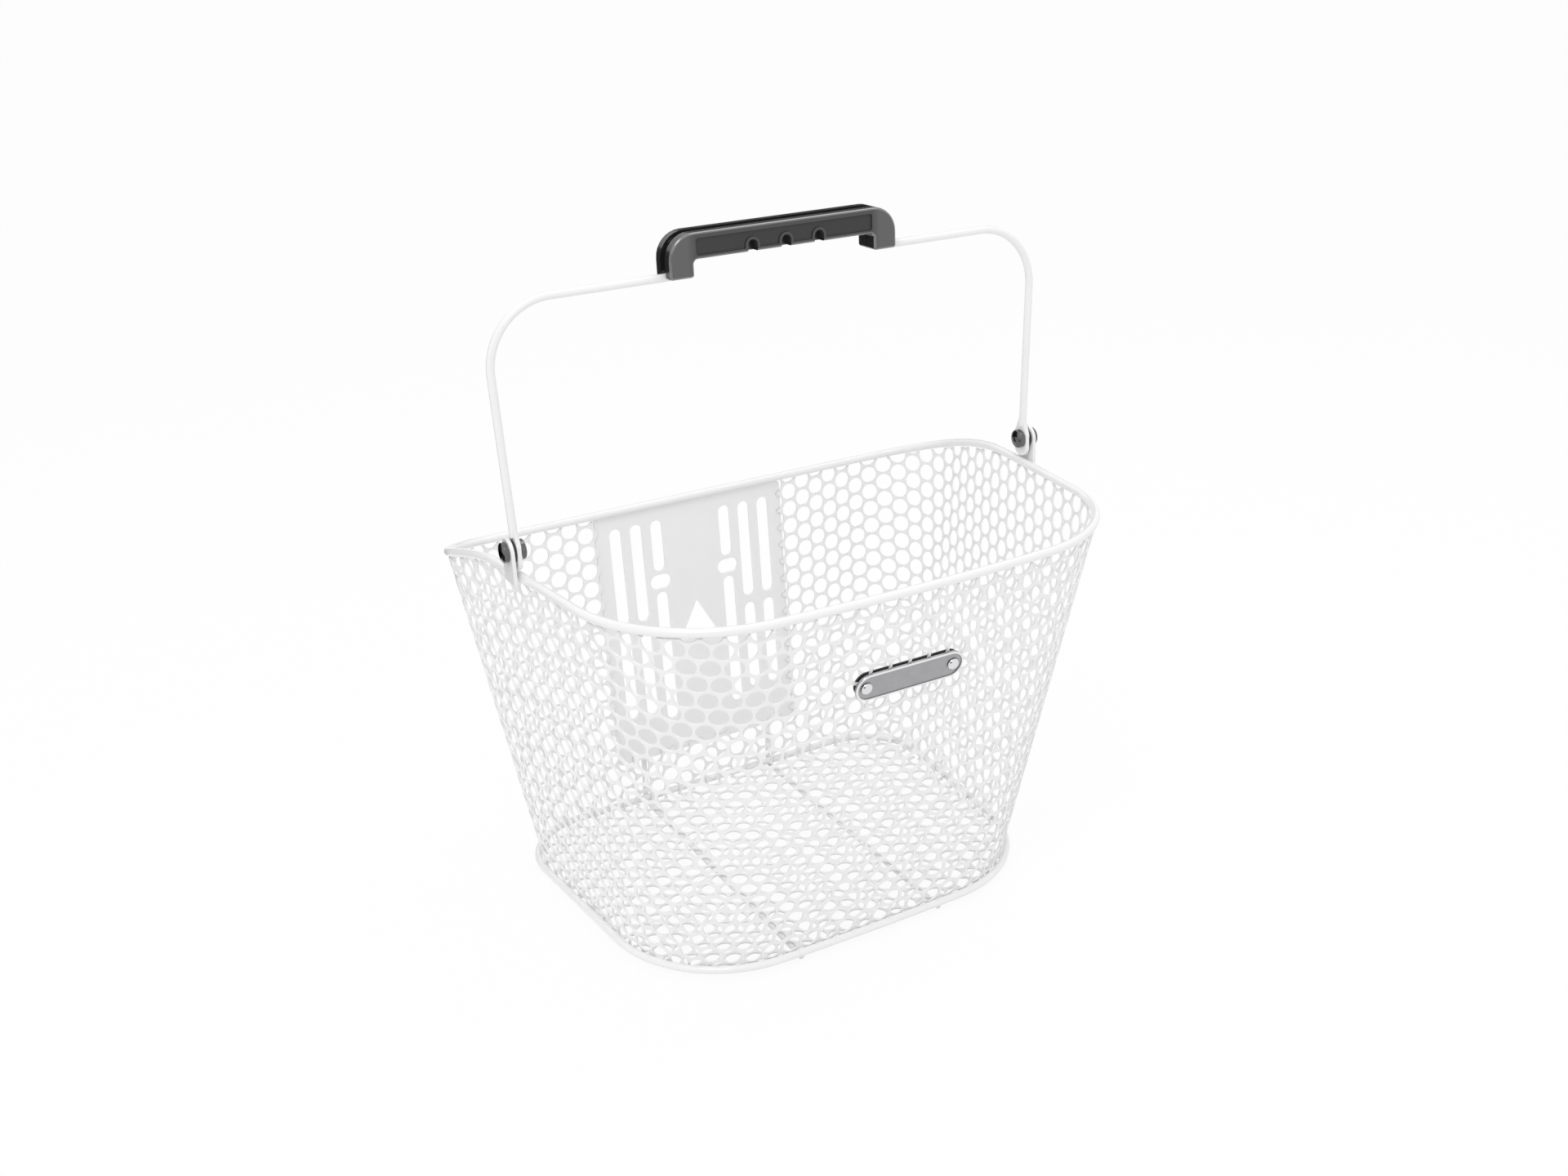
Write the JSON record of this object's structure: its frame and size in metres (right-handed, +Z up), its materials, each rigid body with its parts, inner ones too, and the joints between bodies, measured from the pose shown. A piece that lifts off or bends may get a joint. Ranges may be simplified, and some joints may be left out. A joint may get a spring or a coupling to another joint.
{
  "type": "handlebar basket",
  "caption": "Tapered wire-rimmed bicycle basket of perforated sheet with a slotted back plate, rods under its floor and a swinging carrying bail with a moulded grip.",
  "frame": {"origin": "on the ground under the middle of the rim, where the two support rods rest", "axes": "+X across the basket to the right seen from the front, +Y towards the bicycle, +Z up"},
  "size_m": [0.3522, 0.2735, 0.4073],
  "materials": {
    "white_powder_coat": "gloss powder coat",
    "black_grip_plastic": "satin moulded, grained panel",
    "chrome_hardware": "bright plated",
    "badge_metal": "brushed field, polished border",
    "black_backing": "satin black",
    "black_nylon": "satin moulded",
    "zinc_screw": "zinc plated"
  },
  "bodies": {
    "basket": {"back_plate": "white_powder_coat", "badge_backing_plate": "black_backing", "badge_plate": "badge_metal", "badge_rivet_left": "chrome_hardware", "badge_rivet_right": "chrome_hardware", "bail_lug_left": "white_powder_coat", "bail_lug_right": "white_powder_coat", "base_ring": "white_powder_coat", "floor_mesh": "white_powder_coat", "pivot_bolt_left": "chrome_hardware", "pivot_bolt_right": "chrome_hardware", "pivot_nut_left": "chrome_hardware", "pivot_nut_right": "chrome_hardware", "pivot_washer_left": "black_nylon", "pivot_washer_right": "black_nylon", "rim_wire": "white_powder_coat", "support_rod_left": "white_powder_coat", "support_rod_right": "white_powder_coat", "wall_mesh": "white_powder_coat"},
    "bail": {"bail_wire": "white_powder_coat", "grip_front_shell": "black_grip_plastic", "grip_rear_shell": "black_grip_plastic", "grip_screw_left": "zinc_screw", "grip_screw_right": "zinc_screw"}
  },
  "joints": [
    {"name": "bail_swing", "type": "hinge", "parent": "basket", "child": "bail", "pos_m": [0, 0, 0.25375], "axis": [1, 0, 0], "range_deg": [-100, 90]}
  ]
}
